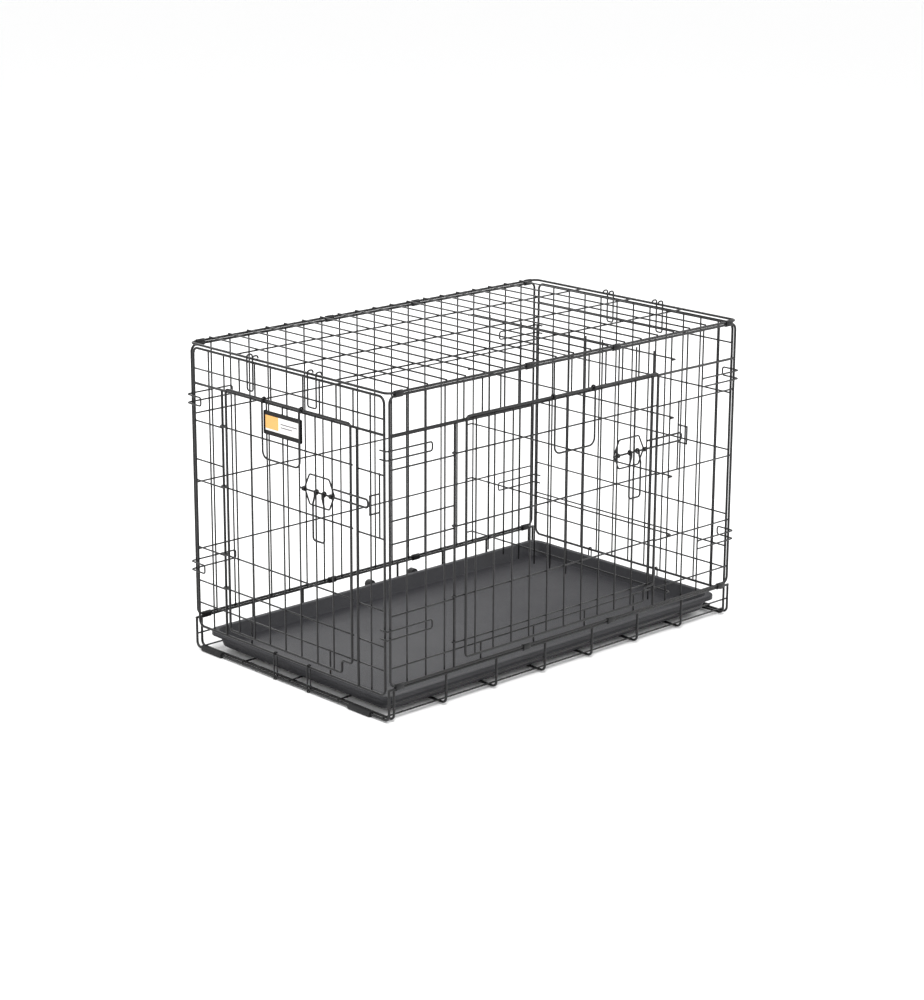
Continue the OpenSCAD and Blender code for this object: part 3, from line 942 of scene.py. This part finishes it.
class CRATE_OT_pan_clips(bpy.types.Operator):
    """Turns the two round knobs that press on the base's middle wire"""
    bl_idname = "crate.pan_clips"
    bl_label = "Pan knobs"

    def execute(self, context):
        bm = bmesh.new()
        for low, high in SOLIDS["pan_clips"][1]:
            radius = (high.x - low.x) / 2
            axis = Vector(((low.x + high.x) / 2, low.y, (low.z + high.z) / 2))
            length = high.y - low.y
            profile = [
                (0, 0), (0.5 * radius, 0), (0.6 * radius, 0.8 * MM), (0.6 * radius, 3.6 * MM),
                (radius, 4.2 * MM), (radius, length - 2.5 * MM), (0.86 * radius, length - 0.6 * MM),
                (0.6 * radius, length), (0.52 * radius, length - 1.4 * MM), (0, length - 1.4 * MM),
            ]
            verts = [bm.verts.new(axis + Vector((r, along, 0))) for r, along in profile]
            edges = [bm.edges.new(two) for two in zip(verts, verts[1:])]
            bmesh.ops.spin(
                bm, geom=verts + edges, cent=axis, axis=Y, angle=math.tau, steps=28, use_merge=True,
                use_duplicate=False)
        bmesh.ops.remove_doubles(bm, verts=bm.verts, dist=0.01 * MM)
        outward(bm)
        finish_piece(bm, "pan_knobs", BODY_OF["pan_clips"], [sleeve_rubber()], ["pan_clips"])
        return {"FINISHED"}


class CRATE_OT_name_plate(bpy.types.Operator):
    """Makes the plain name plate: a black surround, a white card, an orange badge and two blank bars"""
    bl_idname = "crate.name_plate"
    bl_label = "Name plate"

    def execute(self, context):
        finish = settings().finish
        place = DOORS["end"]
        low, high = local_box(*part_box("name_plate"), place)
        width, height = high.x - low.x, high.z - low.z
        materials = [
            card_ink("Card surround", (0.006, 0.006, 0.006), 0.02, 0.12),
            card_ink("Card white", finish.card, 0.06),
            card_ink("Card badge", finish.badge, 0.25), card_ink("Card bars", finish.ink, 0.1),
        ]
        bm = bmesh.new()
        self.slab(bm, low, high, 2.5 * MM, 0)
        proud = 0.12 * MM
        inner = Vector((low.x + 5 * MM, 0, low.z + 0.19 * height))
        outer = Vector((high.x - 5 * MM, 0, high.z - 0.18 * height))
        inner.y, outer.y = low.y - proud, low.y + 0.4 * MM
        self.slab(bm, inner, outer, 1 * MM, 1)
        badge = Vector((inner.x + 0.34 * width, outer.y, outer.z))
        self.slab(bm, Vector((inner.x, low.y - 2 * proud, inner.z + 0.08 * height)), badge, 1.2 * MM, 2)
        line = inner.x + 0.4 * width
        for step, share in ((0.62, 0.86), (0.4, 0.6)):
            z = inner.z + step * (outer.z - inner.z)
            self.slab(
                bm, Vector((line, low.y - 2 * proud, z - 0.8 * MM)),
                Vector((line + (outer.x - line) * share, outer.y, z + 0.8 * MM)), 0.4 * MM, 3)
        bm.transform(place)
        outward(bm)
        node = "name_plate"
        finish_piece(bm, f"{node}_card", BODY_OF[node], materials, [node], sharp=30)
        return {"FINISHED"}

    def slab(self, bm, low, high, corner, material):
        """A thin block with rounded corners and softened face edges."""
        size, middle = high - low, (low + high) / 2
        made = bmesh.ops.create_cube(bm, size=1)["verts"]
        bmesh.ops.scale(bm, verts=made, vec=size)
        bmesh.ops.translate(bm, verts=made, vec=middle)
        edges = {e for v in made for e in v.link_edges}
        upright = [e for e in edges if abs((e.verts[0].co - e.verts[1].co).normalized().y) > 0.9]
        rounded = bmesh.ops.bevel(
            bm, geom=upright, offset=corner, offset_type="OFFSET", segments=4, profile=0.5, affect="EDGES",
            material=-1)
        faces = {f for v in rounded["verts"] for f in v.link_faces}
        for face in faces:
            face.material_index = material


class CRATE_OT_stage(bpy.types.Operator):
    """Sets the pale floor, the soft lights and the camera"""
    bl_idname = "crate.stage"
    bl_label = "Stage"

    def execute(self, context):
        self.floor()
        self.lights()
        self.camera(context.scene)
        return {"FINISHED"}

    def floor(self):
        colour = settings().finish.floor
        bm = bmesh.new()
        bmesh.ops.create_grid(bm, x_segments=1, y_segments=1, size=30)
        mesh = bpy.data.meshes.new("studio_floor")
        bm.to_mesh(mesh)
        bm.free()
        floor = bpy.data.objects.new("studio_floor", mesh)
        bpy.context.scene.collection.objects.link(floor)
        material = surface("Studio floor", fibre_group(), {"Color": opaque(colour), "Mottle": 0.0},
                           (0.0, 0.1 * MM), 0.1)
        mesh.materials.append(material)
        world = bpy.data.worlds.new("Studio")
        bpy.context.scene.world = world
        world.use_nodes = True
        back = world.node_tree.nodes["Background"]
        back.inputs["Color"].default_value = (1, 1, 1, 1)
        back.inputs["Strength"].default_value = 1.05
        bpy.context.scene.view_settings.view_transform = "Standard"

    def lights(self):
        for name, place, size, power in (
            ("key", (-1.6, -2.0, 3.6), 1.4, 130), ("fill", (3.4, -1.6, 2.2), 2.0, 40),
            ("back", (0.8, 3.2, 2.8), 2.4, 60),
        ):
            data = bpy.data.lights.new(f"{name}_softbox", "AREA")
            data.energy = power
            data.size = size
            lamp = bpy.data.objects.new(f"{name}_softbox", data)
            bpy.context.scene.collection.objects.link(lamp)
            lamp.location = place
            lamp.rotation_euler = (Vector((0, 0, 0.25)) - Vector(place)).to_track_quat("-Z", "Y").to_euler()

    def camera(self, scene):
        azimuth, elevation, roll = math.radians(-43.4), math.radians(15.98), math.radians(0.26)
        distance, aim = 4.234, Vector((-0.0146, 0, 0.2324))
        away = Vector((math.sin(azimuth) * math.cos(elevation), -math.cos(azimuth) * math.cos(elevation),
                       math.sin(elevation)))
        data = bpy.data.cameras.new("studio_camera")
        data.sensor_fit = "VERTICAL"
        data.sensor_height = 36
        data.lens = 92.03
        data.clip_end = 100
        camera = bpy.data.objects.new("studio_camera", data)
        scene.collection.objects.link(camera)
        turned = away.to_track_quat("Z", "Y").to_matrix().to_4x4() @ Matrix.Rotation(roll, 4, "Z")
        camera.matrix_world = Matrix.Translation(aim + away * distance) @ turned
        scene.camera = camera


class CRATE_PT_panel(bpy.types.Panel):
    bl_label = "Wire dog crate"
    bl_idname = "CRATE_PT_panel"
    bl_space_type = "VIEW_3D"
    bl_region_type = "UI"
    bl_category = "Crate"

    def draw(self, context):
        for operator in OPERATORS:
            self.layout.operator(operator.bl_idname)
        crate = context.scene.wire_crate
        for group in (crate.wire, crate.tray, crate.clip, crate.finish):
            column = self.layout.box().column()
            for name in group.__annotations__:
                column.prop(group, name)


OPERATORS = (
    CRATE_OT_stage, CRATE_OT_bend_wires, CRATE_OT_door_rails, CRATE_OT_welds, CRATE_OT_latches,
    CRATE_OT_handles, CRATE_OT_clips, CRATE_OT_feet, CRATE_OT_tray, CRATE_OT_pan_clips, CRATE_OT_name_plate,
)
GROUPS = (WireSettings, TraySettings, ClipSettings, FinishSettings, CrateSettings)
CLASSES = (*GROUPS, *OPERATORS, CRATE_PT_panel)


def register():
    for cls in CLASSES:
        bpy.utils.register_class(cls)
    bpy.types.Scene.wire_crate = PointerProperty(type=CrateSettings)


def unregister():
    del bpy.types.Scene.wire_crate
    for cls in reversed(CLASSES):
        bpy.utils.unregister_class(cls)


def main():
    register()
    for operator in OPERATORS:
        getattr(bpy.ops.crate, operator.bl_idname.split(".")[1])()
    bpy.context.view_layer.update()


if __name__ == "__main__":
    main()
